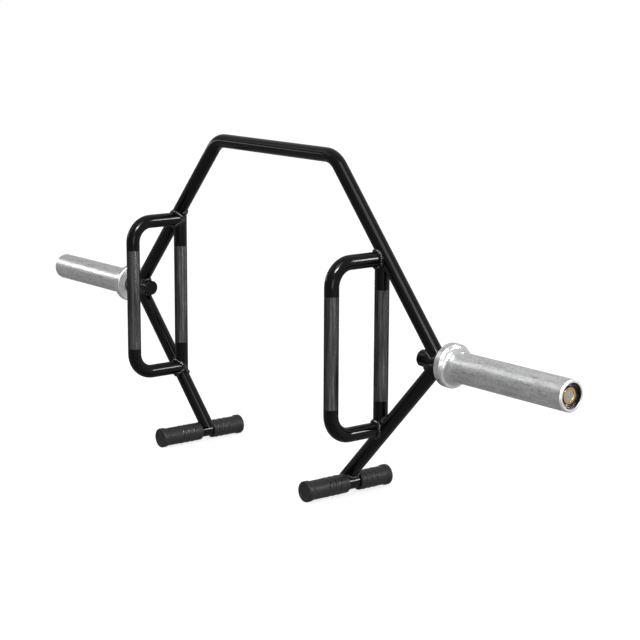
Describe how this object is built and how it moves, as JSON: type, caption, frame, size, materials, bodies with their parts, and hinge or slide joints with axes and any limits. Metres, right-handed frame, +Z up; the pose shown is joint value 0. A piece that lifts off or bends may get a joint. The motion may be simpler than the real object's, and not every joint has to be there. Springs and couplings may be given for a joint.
{
  "type": "open-ended trap bar",
  "caption": "Open-fronted lifting bar: a bent round-bar frame on rubber-gripped feet, with low and high hand grips and a turning plate sleeve on each side.",
  "frame": {"origin": "on the floor, under the middle of the outline of the whole bar", "axes": "+X along the sleeves towards the right-hand one, +Z up, -Y towards the side that the high grips stand out on"},
  "size_m": [1.46, 0.199, 0.5861],
  "materials": {
    "frame_coating": "gloss black powder coat",
    "knurled_steel": "bare blackened steel with a diamond knurl",
    "foot_rubber": "matt moulded rubber",
    "sleeve_zinc": "zinc-plated steel, softly mottled",
    "bushing_bronze": "machined oil-soaked bronze",
    "bright_steel": "spring steel, oiled",
    "brass_ring": "polished brass",
    "plain_disc": "turned steel, satin"
  },
  "bodies": {
    "frame": {"yoke_bar": "frame_coating", "lower_strut_left": "frame_coating", "lower_strut_right": "frame_coating", "sleeve_shaft_left": "frame_coating", "sleeve_shaft_right": "frame_coating", "low_grip_left": "frame_coating", "low_grip_right": "frame_coating", "high_grip_left": "frame_coating", "high_grip_right": "frame_coating", "foot_bar_left": "frame_coating", "foot_bar_right": "frame_coating", "front_foot_grip_left": "foot_rubber", "front_foot_grip_right": "foot_rubber", "rear_foot_grip_left": "foot_rubber", "rear_foot_grip_right": "foot_rubber", "stop_ring_left": "sleeve_zinc", "stop_ring_right": "sleeve_zinc", "washer_left": "bright_steel", "washer_right": "bright_steel", "snap_ring_left": "bright_steel", "snap_ring_right": "bright_steel", "end_ring_left": "brass_ring", "end_ring_right": "brass_ring", "end_disc_left": "plain_disc", "end_disc_right": "plain_disc", "weld_yoke_shaft_left": "frame_coating", "weld_yoke_shaft_right": "frame_coating", "weld_strut_shaft_left": "frame_coating", "weld_strut_shaft_right": "frame_coating", "weld_low_grip_top_left": "frame_coating", "weld_low_grip_top_right": "frame_coating", "weld_low_grip_foot_left": "frame_coating", "weld_low_grip_foot_right": "frame_coating", "weld_high_grip_top_left": "frame_coating", "weld_high_grip_top_right": "frame_coating", "weld_high_grip_foot_left": "frame_coating", "weld_high_grip_foot_right": "frame_coating", "weld_strut_foot_left": "frame_coating", "weld_strut_foot_right": "frame_coating"},
    "left_sleeve": {"sleeve_left": "sleeve_zinc", "collar_left": "sleeve_zinc", "inner_bushing_left": "bushing_bronze", "outer_bushing_left": "bushing_bronze"},
    "right_sleeve": {"sleeve_right": "sleeve_zinc", "collar_right": "sleeve_zinc", "inner_bushing_right": "bushing_bronze", "outer_bushing_right": "bushing_bronze"}
  },
  "joints": [
    {"name": "right_sleeve_turn", "type": "hinge", "parent": "frame", "child": "right_sleeve", "pos_m": [0.607, 0.019, 0.267], "axis": [1, 0, 0], "continuous": true},
    {"name": "left_sleeve_turn", "type": "hinge", "parent": "frame", "child": "left_sleeve", "pos_m": [-0.607, 0.019, 0.267], "axis": [1, 0, 0], "continuous": true}
  ]
}
